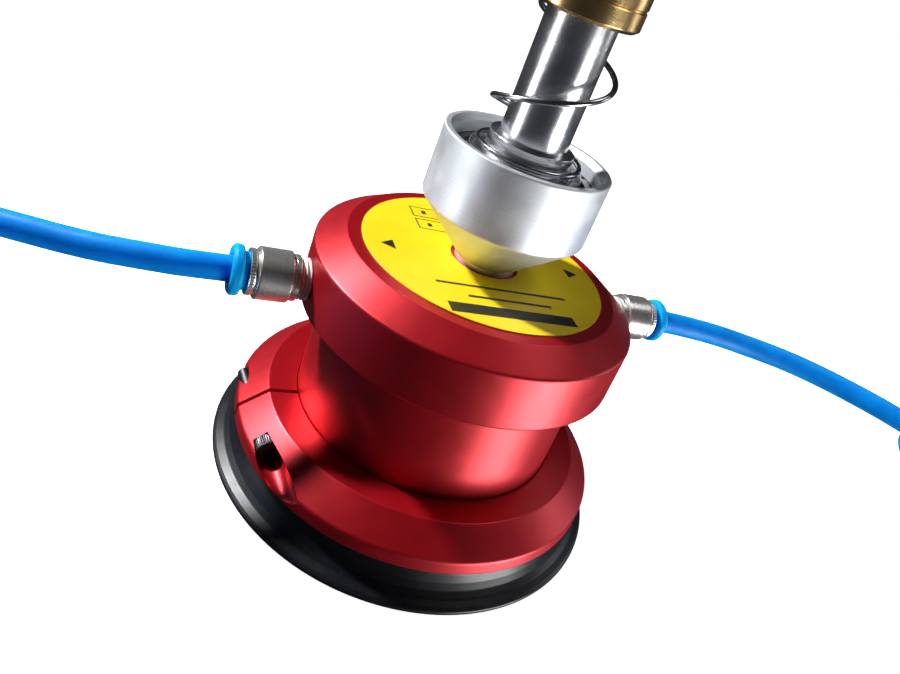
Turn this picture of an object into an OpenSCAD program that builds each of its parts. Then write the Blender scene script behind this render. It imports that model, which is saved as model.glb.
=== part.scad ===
// Air-switched magnet gripper head with a flared rubber lip, hung on a
// spring-loaded swivel shaft, with two push-in fittings and their air tubes.
// It stands on its lip: the origin is the centre of the lip's contact face,
// +Z runs up the shaft and +X runs out of the upper air port.

/* [Housing] */
// Outside diameter of the head
head_d = 80; // [76:0.5:84]
// Outside diameter of the neck below the head
neck_d = 68; // [66:0.5:70]
// Height of the head's lower edge above the contact face
head_base_z = 44.8; // [44:0.1:45.2]
// Height of the head's top face
head_top_z = 62.6; // [62:0.1:63]
// Radial width of the head's large top chamfer
head_chamfer_w = 6.6; // [4:0.1:8]
// Height of the head's large top chamfer
head_chamfer_h = 4.2; // [3:0.1:5]
// Diameter of the cylinder bore
bore_d = 50; // [49:0.1:51]
// Height of the lower air port, on the -X side
port_low_z = 50.5; // [50:0.1:51]
// Height of the upper air port, on the +X side
port_high_z = 53; // [52:0.1:54]

/* [Lip and clamp] */
// Diameter of the lip's flared edge
lip_d = 102; // [100:0.5:106]
// Outside diameter of the clamp ring
ring_d = 95; // [93:0.5:96]
// Height of the clamp ring's lower face
ring_base_z = 9.4; // [9.2:0.1:9.6]
// Height of the clamp ring's top face
ring_top_z = 18.3; // [18:0.1:19]
// Width of the clamp ring's split
ring_split_w = 1.2; // [0.8:0.1:1.6]

/* [Magnet piston] */
// Travel of the magnet piston, down to up
piston_travel = 19; // [15:0.5:19]
// Thickness of the sole plate under the magnet
sole_skin = 1.2; // [1:0.1:1.5]

/* [Suspension] */
// Outside diameter of the suspension cup
cup_d = 40; // [39:0.5:41]
// Height of the suspension cup's rim
cup_rim_z = 92.4; // [92:0.1:93]
// Height at which the cup's cone meets its cylinder
cup_cone_z = 76; // [75:0.1:77]
// Diameter of the shaft
shaft_d = 16; // [16:0.01:16.02]
// Height of the swivel ball's centre
ball_z = 84.3; // [84:0.1:84.5]
// Diameter of the swivel ball
ball_d = 21; // [20.8:0.1:21]
// Diameter of the guide bush's barrel
bush_d = 24; // [24:0.5:26]
// Height of the guide bush's lower face
bush_base_z = 123.1; // [122:0.1:124]
// Diameter of the guide bush's mounting thread
bush_thread_d = 20; // [20:0.5:21]
// Length of the guide bush
bush_len = 44.9; // [44:0.1:46]
// Spring wire diameter
wire_d = 1.3; // [1:0.1:1.5]
// Mean diameter of the spring
spring_d = 24; // [23.6:0.1:24.4]
// Pitch of the spring's active turns
spring_pitch = 22; // [20:0.5:24]

/* [Air line] */
// Outside diameter of the air tube
tube_d = 6; // [6:0.01:6.02]
// Travel of a fitting's release ring
release_travel = 1; // [0.8:0.1:1]
// Distance from the head's axis to a fitting's shoulder
fitting_seat_r = 42.4; // [42:0.1:43]

/* [Hidden] */
$fn = 96;
slack = 0.1;
fit_gap = 0.05;

head_r = head_d / 2;
neck_r = neck_d / 2;
bore_r = bore_d / 2;
lip_r = lip_d / 2;
ring_r = ring_d / 2;
shaft_r = shaft_d / 2;
tube_r = tube_d / 2;

// Housing and sole
neck_foot_z = 4;
bore_roof_z = 48;
edge_round = 0.6;
sole_r = neck_r - 0.4;
sole_low_z = 0.9;
sole_recess_r = bore_r - 0.5;
sole_screw_r = 30.8;
sole_screw_count = 6;
m3_r = 1.5;
m6_r = 3;
port_r = 4.9;
port_floor_r = 31;
channel_x = 30.4;
channel_r = 1.8;
upper_duct_x = 20;
duct_r = 2;
spigot_r = 7.5;
spigot_low_z = 57.1;
label_r = 30.2;
label_hole_r = 8.5;
label_t = 0.3;

// Clamp ring and lip
ring_chamfer_r = 41;
ring_side_z = 12.9;
ring_bore_r = neck_r + slack;
lip_collar_r = neck_r + 2.8;
lip_collar_z = 15.2;
clamp_screw_turn = 187.5;
clamp_screw_r = 43.2;
clamp_screw_z = 13;
clamp_seat_s = 6.6;
clamp_tip_s = -19;
clamp_counterbore_r = 3;
clamp_head_r = 2.75;
clamp_head_h = 3.6;

// Magnet piston, stacked from its pole disc up
pole_z = 2.5;
pole_t = 3;
magnet_t = 6;
piston_z = pole_z + pole_t + 2 * magnet_t;
piston_t = 10.4;

// Suspension
cup_r = cup_d / 2;
cup_foot_r = 7.8;
cup_foot_z = 64;
cup_bore_r = 17.2;
cup_floor_z = 78.7;
ball_r = ball_d / 2;
ball_cut_z = ball_z + 4.2;
socket_r = ball_r + 0.06;
seat_r = cup_bore_r - 0.06;
seat_low_z = ball_z - 5.5;
seat_top_z = ball_z + 2.4;
clip_z = seat_top_z + 0.2;
clip_t = 1.2;
clip_r = 18.3;
clip_bore_r = 15.2;
collar_r = 10;
collar_flange_r = 13.5;
collar_low_z = ball_cut_z + 0.1;
collar_flange_top_z = 90;
collar_top_z = 94.3;
shaft_top_z = 175;
stop_washer_z = bush_base_z + bush_len + 0.3;
stop_ring_z = stop_washer_z + 1.3;
hex_af = 27;
hex_r = hex_af / 2 / cos(30);
bush_hex_z = 138;
bush_thread_z = 145;
nut_z = 146.8;
nut_t = 7;
relief_z = nut_z + nut_t + 0.1;
relief_w = 0.6;

// Spring: a turn angle at which the middle turns pass a known height
spring_mark_turn = 151.5;
spring_mark_z = 100.5;
spring_rise = wire_d + 0.05;
spring_low_z = collar_flange_top_z + wire_d / 2;
spring_high_z = bush_base_z - wire_d / 2 - slack;
spring_low_turn = spring_turn_at(spring_low_z + spring_rise);
spring_high_turn = spring_turn_at(spring_high_z - spring_rise);
spring_top_r = 10.2;
spring_step = 15;

// Push-in fitting, measured outward from its shoulder
thread_r = 4.86;
thread_len = 8.9;
barrel_r = 5.9;
barrel_from = 1.2;
barrel_to = 9.2;
mouth_r = 5.2;
mouth_to = 10.9;
flow_r = 2;
pocket_r = tube_r + 0.1;
chamber_r = 4.5;
chamber_from = 5.8;
flange_from = mouth_to + release_travel + 0.3;
flange_to = flange_from + 2.4;
tube_inner_end = 0.6;

// Tube coils, wound two turns wide and two turns high, spiralling in on top
// and out again below
coil_pitch = 6.1;
coil_outer_turn_r = 38.4;
coil_inner_turn_r = 27.7;
coil_outer_r = coil_outer_turn_r + tube_r;
coil_inner_r = coil_inner_turn_r - tube_r;
coil_low_z = 0.8;
coil_h = coil_pitch + 2 * tube_r;
coil_edge = 1.5;
coil_left = [-149, -9];
coil_right = [246, -9];
tie_t = 0.7;
tie_w = 7;
tail_len = 28;
end_fitting_z = 6.8;

left_start_x = -(fitting_seat_r + tube_inner_end);
right_start_x = fitting_seat_r + tube_inner_end;

// Route of each tube's centre from its fitting to its coil
left_route = [
    [left_start_x, 0, port_low_z], [-50, 0, port_low_z], [-58, 0, port_low_z],
    [-67, 0.5, 50.1], [-75, 2, 49.5], [-82.5, 4, 48.7], [-90, 7, 47.8],
    [-97.5, 10, 47.2], [-105, 13.5, 46.2], [-113, 18, 43.5],
    [-121, 22.5, 39.5], [-129, 26.5, 34.5], [-137.5, 30, 29.5], [-146.5, 32.4, 24.8],
    [-155.5, 32.2, 20.8], [-164, 29.4, 17.6], [-171.5, 24.5, 14.9], [-177.8, 18, 12.8],
    [-182.6, 10.2, 11.2], [-186, 1, 10.2], [-187.4, -9, 9.9], [-186, -18.8, 9.9]
];
right_route = [
    [right_start_x, 0, port_high_z], [50, 0, port_high_z], [58, 0, port_high_z],
    [66, 0, 52.5], [73, -0.5, 52.1], [80, -1.5, 51.7], [87, -3, 51.2],
    [94, -5.5, 51], [101, -9, 51], [108, -13.5, 50.9], [115, -19.5, 50.9],
    [121.5, -27, 51.1], [128, -33.6, 50.7], [135.6, -38.6, 49.4], [144, -42.2, 46.5],
    [153, -44.6, 42.3], [162, -46, 37.2], [171, -46.8, 31.6], [180, -47.2, 26],
    [189, -47.4, 21], [198, -47.4, 16.8], [207, -47.4, 13.6], [216, -47.4, 11.5],
    [225, -47.4, 10.3], [235, -47.4, 9.9], [246, -47.4, 9.9], [255.8, -46.1, 9.9]
];
tube_ring_gap = 14;
tube_sides = 12;

// ---- Helpers ----

function spring_turn_at(z) = spring_mark_turn + 360 * (z - spring_mark_z) / spring_pitch;

function unit(v) = v / norm(v);

// Catmull-Rom point between b and c at t from 0 to 1
function curve_at(a, b, c, d, t) =
    0.5 * ((2 * b) + (c - a) * t + (2 * a - 5 * b + 4 * c - d) * t * t
        + (3 * b - a - 3 * c + d) * t * t * t);

// Points along a route, about one every gap
function smooth_path(p, gap) = [
    for (i = [0 : len(p) - 2])
        let (
            a = p[max(i - 1, 0)],
            d = p[min(i + 2, len(p) - 1)],
            n = max(1, round(norm(p[i + 1] - p[i]) / gap))
        )
        for (j = [0 : n - 1])
            curve_at(a, p[i], p[i + 1], d, j / n),
    p[len(p) - 1]
];

function tangent(p, i) = unit(p[min(i + 1, len(p) - 1)] - p[max(i - 1, 0)]);

// A closed tube of radius r swept along the points p
module swept_tube(p, r, sides) {
    rings = len(p);
    points = [
        for (i = [0 : rings - 1])
            let (
                t = tangent(p, i),
                side = unit(cross(t, [0, 0, 1])),
                up = cross(side, t)
            )
            for (k = [0 : sides - 1])
                p[i] + r * (cos(360 * k / sides) * side + sin(360 * k / sides) * up)
    ];
    walls = [
        for (i = [0 : rings - 2])
            for (k = [0 : sides - 1])
                let (next = (k + 1) % sides, here = i * sides, on = (i + 1) * sides)
                [here + k, here + next, on + next, on + k]
    ];
    first_cap = [for (k = [0 : sides - 1]) sides - 1 - k];
    last_cap = [for (k = [0 : sides - 1]) (rings - 1) * sides + k];
    polyhedron(points, concat(walls, [first_cap, last_cap]), convexity = 8);
}

// A plain ring from z0 to z1
module ring(outer_r, inner_r, z0, z1) {
    rotate_extrude()
        translate([inner_r, z0])
            square([outer_r - inner_r, z1 - z0]);
}

module turned(profile) {
    rotate_extrude()
        polygon(profile);
}

module around(count, radius) {
    for (i = [0 : count - 1])
        rotate([0, 0, 360 * (i + 0.5) / count])
            translate([radius, 0, 0])
                children();
}

module hexagon(af, z0, z1) {
    translate([0, 0, z0])
        cylinder(r = af / 2 / cos(30), h = z1 - z0, $fn = 6);
}

// Socket-head cap screw standing on z = 0, thread down
module cap_screw(r, length, head_r, head_h) {
    difference() {
        union() {
            cylinder(r = head_r, h = head_h);
            translate([0, 0, -length])
                cylinder(r = r, h = length + 0.1);
        }
        translate([0, 0, head_h * 0.4])
            cylinder(r = head_r * 0.52, h = head_h, $fn = 6);
    }
}

// Turns what is drawn up Z so that it points along +X
module along_x() {
    rotate([0, 90, 0])
        children();
}

// ---- Housing, lip and clamp ----

module housing_shell() {
    turned([
        [0, neck_foot_z], [neck_r - 0.4, neck_foot_z], [neck_r, neck_foot_z + 0.4],
        [neck_r, head_base_z], [head_r - edge_round, head_base_z],
        [head_r - 0.18, head_base_z + 0.18], [head_r, head_base_z + edge_round],
        [head_r, head_top_z - head_chamfer_h - 0.5],
        [head_r - 0.12, head_top_z - head_chamfer_h - 0.1],
        [head_r - 0.5, head_top_z - head_chamfer_h + 0.32],
        [head_r - head_chamfer_w + 0.5, head_top_z - 0.32],
        [head_r - head_chamfer_w - 0.4, head_top_z], [0, head_top_z]
    ]);
}

module housing() {
    color("crimson")
    difference() {
        housing_shell();
        translate([0, 0, neck_foot_z - 1])
            cylinder(r = bore_r, h = bore_roof_z - neck_foot_z + 1);
        // Groove for the sole's O-ring
        ring(28.4, 26.2, neck_foot_z - 1, neck_foot_z + 1.6);
        // Register and thread for the suspension cup
        translate([0, 0, spigot_low_z])
            cylinder(r = spigot_r + fit_gap, h = 10);
        translate([0, 0, 50.5])
            cylinder(r = m6_r + fit_gap, h = 10);
        around(sole_screw_count, sole_screw_r)
            translate([0, 0, neck_foot_z - 1])
                cylinder(r = m3_r + fit_gap, h = 10.5);
        // Lower port, then down the wall and into the bore's foot
        translate([-port_floor_r, 0, port_low_z])
            rotate([0, 0, 180]) along_x()
                cylinder(r = port_r, h = 12);
        translate([-channel_x, 0, neck_foot_z - 1])
            cylinder(r = channel_r, h = port_low_z - neck_foot_z + 1);
        translate([-channel_x, 0, 9.5])
            along_x()
                cylinder(r = 1.4, h = 6);
        // Upper port, then in and down through the bore's roof
        translate([upper_duct_x, 0, port_high_z])
            along_x()
                cylinder(r = duct_r, h = 12);
        translate([port_floor_r, 0, port_high_z])
            along_x()
                cylinder(r = port_r, h = 12);
        translate([upper_duct_x, 0, bore_roof_z - 1])
            cylinder(r = duct_r, h = port_high_z - bore_roof_z + 1);
    }
}

module name_label() {
    color("gold")
    ring(label_r, label_hole_r, head_top_z, head_top_z + label_t);
}

module clamp_screw_place() {
    rotate([0, 0, clamp_screw_turn])
        translate([clamp_screw_r, 0, clamp_screw_z])
            rotate([-90, 0, 0])
                children();
}

module clamp_ring() {
    color("crimson")
    difference() {
        turned([
            [ring_bore_r, ring_top_z], [ring_bore_r, lip_collar_z + slack],
            [lip_collar_r + slack, lip_collar_z + slack], [lip_collar_r + slack, ring_base_z],
            [ring_r - 0.4, ring_base_z], [ring_r, ring_base_z + 0.4],
            [ring_r, ring_side_z - 0.8], [ring_r - 0.25, ring_side_z],
            [ring_r - 0.9, ring_side_z + 0.7],
            [ring_chamfer_r + 0.6, ring_top_z - 0.4], [ring_chamfer_r - 0.4, ring_top_z]
        ]);
        translate([-ring_r - 1, -ring_split_w / 2, ring_base_z - 1])
            cube([ring_r - neck_r + 3, ring_split_w, ring_top_z - ring_base_z + 2]);
        clamp_screw_place() {
            translate([0, 0, -30])
                cylinder(r = m3_r + fit_gap, h = 60);
            translate([0, 0, clamp_seat_s])
                cylinder(r = clamp_counterbore_r, h = 30);
        }
    }
}

module clamp_screw() {
    color("silver")
    clamp_screw_place()
        translate([0, 0, clamp_seat_s + fit_gap])
            cap_screw(m3_r, clamp_seat_s - clamp_tip_s, clamp_head_r, clamp_head_h);
}

module suction_lip() {
    color("dimgray")
    turned([
        [neck_r + fit_gap, lip_collar_z], [lip_collar_r, lip_collar_z],
        [lip_collar_r, ring_base_z - slack], [45.6, ring_base_z - slack],
        [46.0, 7.6], [46.5, 5.8], [47.3, 4.2], [48.3, 3.0], [49.4, 2.3],
        [lip_r - 0.6, 1.95], [lip_r - 0.15, 1.6], [lip_r, 1.0], [lip_r - 0.1, 0.35],
        [lip_r - 0.5, 0], [46.4, 0], [45.6, 1.5], [38.6, 1.5], [37.8, 0],
        [neck_r + fit_gap, 0]
    ]);
}

module sole_plate() {
    color("silver")
    difference() {
        turned([
            [0, sole_low_z], [sole_r - 0.4, sole_low_z], [sole_r, sole_low_z + 0.4],
            [sole_r, neck_foot_z - fit_gap], [sole_recess_r, neck_foot_z - fit_gap],
            [sole_recess_r, sole_low_z + sole_skin], [0, sole_low_z + sole_skin]
        ]);
        around(sole_screw_count, sole_screw_r)
            rotate_extrude()
                polygon([
                    [0, sole_low_z - 1], [3.05, sole_low_z - 1], [3.05, sole_low_z],
                    [1.65, sole_low_z + 1.4], [1.65, neck_foot_z + 1], [0, neck_foot_z + 1]
                ]);
    }
}

module sole_screws() {
    color("silver")
    around(sole_screw_count, sole_screw_r)
        difference() {
            rotate_extrude()
                polygon([
                    [0, sole_low_z + 0.1], [2.85, sole_low_z + 0.1], [m3_r, sole_low_z + 1.5],
                    [m3_r, 12], [0, 12]
                ]);
            cylinder(r = 1.1, h = sole_low_z + 1, $fn = 6);
        }
}

module sole_seal() {
    color("black")
    rotate_extrude()
        translate([27.3, neck_foot_z + 0.85])
            circle(r = 0.75);
}

module channel_plug() {
    color("silver")
    translate([-channel_x, 0, neck_foot_z + 0.1])
        cylinder(r = channel_r - fit_gap, h = 2.5);
}

// ---- Magnet piston ----

module pole_disc() {
    color("silver")
    difference() {
        turned([
            [0, pole_z], [bore_r - 1.2, pole_z], [bore_r - 1, pole_z + 0.2],
            [bore_r - 1, pole_z + pole_t - fit_gap], [0, pole_z + pole_t - fit_gap]
        ]);
        translate([0, 0, pole_z + 0.6])
            cylinder(r = m6_r + fit_gap, h = pole_t);
    }
}

module magnet_discs() {
    color("dimgray")
    for (i = [0 : 1])
        ring(bore_r - 1.5, m6_r + 0.3, pole_z + pole_t + i * magnet_t,
            pole_z + pole_t + (i + 1) * magnet_t - fit_gap);
}

module piston() {
    color("lightgray")
    difference() {
        translate([0, 0, piston_z])
            cylinder(r = bore_r - 0.08, h = piston_t);
        ring(bore_r + 1, 22.6, piston_z + 6.4, piston_z + 9);
        ring(bore_r + 1, 23.5, piston_z + 1.5, piston_z + 5);
        translate([0, 0, piston_z - 1])
            cylinder(r = m6_r + 0.3, h = piston_t + 2);
        translate([0, 0, piston_z + piston_t - 6.2])
            cylinder(r = 5.5, h = 7);
    }
}

module piston_seal() {
    color("black")
    rotate_extrude()
        translate([23.8, piston_z + 7.7])
            circle(r = 1.15);
}

module piston_guide() {
    color("ivory")
    ring(bore_r - 0.04, 23.55, piston_z + 1.6, piston_z + 4.9);
}

module piston_screw() {
    color("silver")
    translate([0, 0, piston_z + piston_t - 6.1])
        cap_screw(m6_r, 18.2, 5, 5.6);
}

// ---- Suspension ----

module suspension_cup() {
    color("lightgray")
    difference() {
        turned([
            [0, spigot_low_z + 0.1], [spigot_r, spigot_low_z + 0.1], [spigot_r, cup_foot_z],
            [cup_foot_r, cup_foot_z], [cup_r - 0.7, cup_cone_z - 0.75],
            [cup_r - 0.15, cup_cone_z], [cup_r, cup_cone_z + 0.8],
            [cup_r, cup_rim_z - 0.4], [cup_r - 0.4, cup_rim_z], [0, cup_rim_z]
        ]);
        translate([0, 0, cup_floor_z])
            cylinder(r = cup_bore_r, h = 20);
        // Lead-in chamfer at the rim
        translate([0, 0, cup_rim_z - 1.2])
            cylinder(r1 = cup_bore_r, r2 = cup_bore_r + 1.4, h = 1.4);
        // Groove for the retaining ring
        ring(clip_r + 0.1, cup_bore_r - 1, clip_z - 0.1, clip_z + clip_t + 0.1);
        // Pocket under the ball, and the centre screw's counterbore
        translate([0, 0, 74.4])
            cylinder(r = 9.6, h = 5);
        translate([0, 0, 65])
            cylinder(r = 5.6, h = 10);
        translate([0, 0, 50])
            cylinder(r = m6_r + 0.2, h = 20);
    }
}

module cup_screw() {
    color("silver")
    translate([0, 0, 65.05])
        cap_screw(m6_r, 14, 5, 6);
}

module seat_lower() {
    color("ivory")
    difference() {
        ring(seat_r, 6, seat_low_z, ball_z - 0.1);
        translate([0, 0, ball_z])
            sphere(r = socket_r);
    }
}

module seat_upper() {
    color("ivory")
    difference() {
        ring(seat_r, 6, ball_z + 0.1, seat_top_z);
        translate([0, 0, ball_z])
            sphere(r = socket_r);
    }
}

// Internal retaining ring with an eye at each end of its gap
module retaining_ring() {
    color("silver")
    difference() {
        union() {
            ring(clip_r, clip_bore_r, clip_z, clip_z + clip_t);
            for (turn = [3, 27])
                rotate([0, 0, turn])
                    translate([16.3, 0, clip_z])
                        cylinder(r = 1.9, h = clip_t);
        }
        linear_extrude(height = 200)
            polygon([[0, 0], [30, 30 * tan(9)], [30, 30 * tan(21)]]);
        for (turn = [3, 27])
            rotate([0, 0, turn])
                translate([16.3, 0, clip_z - 1])
                    cylinder(r = 0.8, h = clip_t + 2);
    }
}

module swivel_shaft() {
    color("gainsboro")
    difference() {
        union() {
            intersection() {
                translate([0, 0, ball_z])
                    sphere(r = ball_r);
                translate([0, 0, ball_z - 20])
                    cylinder(r = 20, h = ball_cut_z - ball_z + 20);
            }
            translate([0, 0, ball_z])
                cylinder(r = shaft_r, h = shaft_top_z - 1 - ball_z);
            translate([0, 0, shaft_top_z - 1])
                cylinder(r1 = shaft_r, r2 = shaft_r - 1, h = 1);
        }
        ring(shaft_r + 1, shaft_r - 0.6, stop_ring_z, stop_ring_z + 1.4);
    }
}

module spring_collar() {
    color("silver")
    difference() {
        union() {
            translate([0, 0, collar_low_z])
                cylinder(r = collar_flange_r, h = collar_flange_top_z - collar_low_z);
            translate([0, 0, collar_low_z])
                cylinder(r = collar_r, h = collar_top_z - collar_low_z - 0.4);
            translate([0, 0, collar_top_z - 0.4])
                cylinder(r1 = collar_r, r2 = collar_r - 0.4, h = 0.4);
        }
        translate([0, 0, collar_low_z - 1])
            cylinder(r = shaft_r + 0.01, h = 20);
    }
}

// Height and mean radius of the spring's wire at a turn angle
function spring_z(turn) = lookup(turn, [
    [spring_low_turn - 360, spring_low_z], [spring_low_turn, spring_low_z + spring_rise],
    [spring_high_turn, spring_high_z - spring_rise], [spring_high_turn + 360, spring_high_z]
]);
function spring_r(turn) = lookup(turn, [
    [spring_high_turn - 90, spring_d / 2], [spring_high_turn + 60, spring_top_r]
]);

module load_spring() {
    path = [
        for (turn = [spring_low_turn - 360 : spring_step : spring_high_turn + 360])
            [spring_r(turn) * cos(turn), spring_r(turn) * sin(turn), spring_z(turn)]
    ];
    color("silver")
    swept_tube(path, wire_d / 2, 8);
}

module stop_washer() {
    color("silver")
    ring(9.8, shaft_r + 0.02, stop_washer_z, stop_washer_z + 1.2);
}

module stop_ring() {
    color("dimgray")
    difference() {
        ring(9.7, shaft_r - 0.55, stop_ring_z + 0.1, stop_ring_z + 1.3);
        translate([0, -1.5, stop_ring_z - 1])
            cube([12, 3, 4]);
    }
}

module guide_bush() {
    thread_r_out = bush_thread_d / 2;
    top_z = bush_base_z + bush_len;
    color("goldenrod")
    difference() {
        union() {
            turned([
                [0, bush_base_z], [bush_d / 2 - 1, bush_base_z], [bush_d / 2, bush_base_z + 0.8],
                [bush_d / 2, bush_hex_z + 0.5], [thread_r_out, bush_hex_z + 0.5],
                [thread_r_out, top_z - 1], [thread_r_out - 1, top_z], [0, top_z]
            ]);
            intersection() {
                hexagon(hex_af, bush_hex_z, bush_thread_z);
                turned([
                    [0, bush_hex_z], [hex_af / 2, bush_hex_z], [hex_r, bush_hex_z + 1],
                    [hex_r, bush_thread_z - 1], [hex_af / 2, bush_thread_z], [0, bush_thread_z]
                ]);
            }
        }
        translate([0, 0, bush_base_z - 1])
            cylinder(r = shaft_r + fit_gap, h = bush_len + 2);
        // Groove that marks how far the jam nut is screwed down
        ring(thread_r_out + 1, thread_r_out - 0.5, relief_z, relief_z + relief_w);
    }
}

module lock_washer() {
    color("silver")
    ring(14.2, bush_thread_d / 2 + slack, bush_thread_z + 0.05, nut_z - fit_gap);
}

module jam_nut() {
    color("goldenrod")
    difference() {
        intersection() {
            hexagon(hex_af, nut_z, nut_z + nut_t);
            turned([
                [0, nut_z], [hex_af / 2, nut_z], [hex_r, nut_z + 1],
                [hex_r, nut_z + nut_t - 1], [hex_af / 2, nut_z + nut_t], [0, nut_z + nut_t]
            ]);
        }
        translate([0, 0, nut_z - 1])
            cylinder(r = bush_thread_d / 2 + fit_gap, h = nut_t + 2);
    }
}

// ---- Push-in fittings, drawn outward along +Z from the shoulder ----

module fitting_body() {
    color("silver")
    difference() {
        turned([
            [0, -thread_len], [thread_r - 0.8, -thread_len], [thread_r, -thread_len + 0.8],
            [thread_r, 0], [thread_r + 0.4, 0], [thread_r + 0.4, barrel_from],
            [barrel_r - 0.4, barrel_from], [barrel_r, barrel_from + 0.4],
            [barrel_r, barrel_to - 0.6], [barrel_r - 0.6, barrel_to],
            [mouth_r, barrel_to], [mouth_r, mouth_to], [0, mouth_to]
        ]);
        translate([0, 0, -thread_len - 1])
            cylinder(r = flow_r, h = thread_len + 2);
        translate([0, 0, tube_inner_end - 0.1])
            cylinder(r = pocket_r, h = 20);
        ring(4.4, pocket_r - 1, 3.2, 5.2);
        translate([0, 0, chamber_from])
            cylinder(r = chamber_r, h = 20);
    }
}

module fitting_grab_ring() {
    color("gray")
    ring(chamber_r - fit_gap, tube_r + fit_gap, 6, 6.5);
}

module fitting_tube_seal() {
    color("black")
    rotate_extrude()
        translate([tube_r + 0.68, 4.2])
            circle(r = 0.67);
}

module fitting_release_ring() {
    stem_from = flange_from - 4.4;
    color("deepskyblue")
    turned([
        [tube_r + fit_gap, stem_from], [chamber_r - 0.1, stem_from],
        [chamber_r - 0.1, flange_from], [barrel_r - 0.5, flange_from],
        [barrel_r - 0.2, flange_from + 0.3], [barrel_r - 0.2, flange_to - 0.5],
        [barrel_r - 0.7, flange_to], [tube_r + fit_gap, flange_to]
    ]);
}

// Places of the four fittings
module at_left_port() {
    translate([-fitting_seat_r, 0, port_low_z])
        rotate([0, 0, 180])
            along_x()
                children();
}

module at_right_port() {
    translate([fitting_seat_r, 0, port_high_z])
        along_x()
            children();
}

// Start of a coil's loose end, which leaves its +X side along +Y
module at_tail(coil) {
    translate([coil[0] + coil_outer_turn_r, coil[1], end_fitting_z])
        children();
}

module at_end_fitting(coil) {
    at_tail(coil)
        translate([0, tail_len + flange_to, 0])
            rotate([90, 0, 0])
                children();
}

// ---- Air tubes ----

module free_tube(route) {
    color("dodgerblue")
    swept_tube(smooth_path(route, tube_ring_gap), tube_r, tube_sides);
}

module tube_coil(coil) {
    color("dodgerblue")
    translate([coil[0], coil[1], coil_low_z])
        turned([
            [coil_inner_r + coil_edge, 0], [coil_outer_r - coil_edge, 0],
            [coil_outer_r, coil_edge], [coil_outer_r, coil_h - coil_edge],
            [coil_outer_r - coil_edge, coil_h], [coil_inner_r + coil_edge, coil_h],
            [coil_inner_r, coil_h - coil_edge], [coil_inner_r, coil_edge]
        ]);
}

// The tie crosses the turns at a coil's front, or further round by tie_turn
module coil_tie(coil, tie_turn) {
    depth = coil_outer_r - coil_inner_r;
    color("black")
    translate([coil[0], coil[1], coil_low_z])
        rotate([0, 0, tie_turn])
        difference() {
            translate([-tie_w / 2, -coil_outer_r - tie_t, -tie_t])
                cube([tie_w, depth + 2 * tie_t, coil_h + 2 * tie_t]);
            ring(coil_outer_r, coil_inner_r, 0, coil_h);
        }
}

module tail_tube(coil) {
    color("dodgerblue")
    at_tail(coil)
        rotate([-90, 0, 0])
            cylinder(r = tube_r, h = tail_len + flange_to - tube_inner_end);
}

housing();
name_label();
clamp_ring();
clamp_screw();
suction_lip();
sole_plate();
sole_screws();
sole_seal();
channel_plug();
pole_disc();
magnet_discs();
piston();
piston_seal();
piston_guide();
piston_screw();
suspension_cup();
cup_screw();
seat_lower();
seat_upper();
retaining_ring();
swivel_shaft();
spring_collar();
load_spring();
stop_washer();
stop_ring();
guide_bush();
lock_washer();
jam_nut();
at_left_port() fitting_body();  // fitting_left
at_left_port() fitting_grab_ring();  // grab_ring_left
at_left_port() fitting_tube_seal();  // tube_seal_left
at_left_port() fitting_release_ring();  // release_ring_left
at_right_port() fitting_body();  // fitting_right
at_right_port() fitting_grab_ring();  // grab_ring_right
at_right_port() fitting_tube_seal();  // tube_seal_right
at_right_port() fitting_release_ring();  // release_ring_right
free_tube(left_route);  // air_tube_left
tube_coil(coil_left);  // tube_coil_left
coil_tie(coil_left, 0);  // coil_tie_left
tail_tube(coil_left);  // tail_tube_left
at_end_fitting(coil_left) fitting_body();  // end_fitting_left
at_end_fitting(coil_left) fitting_grab_ring();  // end_grab_ring_left
at_end_fitting(coil_left) fitting_tube_seal();  // end_tube_seal_left
at_end_fitting(coil_left) fitting_release_ring();  // end_release_ring_left
free_tube(right_route);  // air_tube_right
tube_coil(coil_right);  // tube_coil_right
coil_tie(coil_right, -90);  // coil_tie_right
tail_tube(coil_right);  // tail_tube_right
at_end_fitting(coil_right) fitting_body();  // end_fitting_right
at_end_fitting(coil_right) fitting_grab_ring();  // end_grab_ring_right
at_end_fitting(coil_right) fitting_tube_seal();  // end_tube_seal_right
at_end_fitting(coil_right) fitting_release_ring();  // end_release_ring_right
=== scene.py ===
import math

import bpy
import bmesh
from mathutils import Matrix, Vector


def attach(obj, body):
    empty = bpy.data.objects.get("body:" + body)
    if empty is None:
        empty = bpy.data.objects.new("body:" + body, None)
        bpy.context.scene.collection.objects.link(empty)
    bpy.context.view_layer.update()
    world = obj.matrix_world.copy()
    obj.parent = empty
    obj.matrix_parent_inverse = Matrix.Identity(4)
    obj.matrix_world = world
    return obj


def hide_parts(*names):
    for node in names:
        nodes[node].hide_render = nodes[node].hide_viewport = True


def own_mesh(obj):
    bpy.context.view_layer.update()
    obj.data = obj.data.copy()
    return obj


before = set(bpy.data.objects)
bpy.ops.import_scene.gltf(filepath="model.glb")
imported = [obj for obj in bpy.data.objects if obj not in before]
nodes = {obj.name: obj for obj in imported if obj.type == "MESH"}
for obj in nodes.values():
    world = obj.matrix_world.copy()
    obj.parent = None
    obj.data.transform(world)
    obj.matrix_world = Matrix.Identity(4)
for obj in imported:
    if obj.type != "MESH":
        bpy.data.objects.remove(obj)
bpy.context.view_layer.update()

# Every length below is in millimetres in the row frame, and MM turns it into metres.
MM = 0.001


def mm(x, y, z):
    return Vector((x, y, z)) * MM


# ---------------------------------------------------------------- camera and light

CAMERA_AT = (-82.46, -151.88, 141.56)
CAMERA_TARGET = (0, 0, 60)
CAMERA_ROLL = math.radians(22.23)

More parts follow.
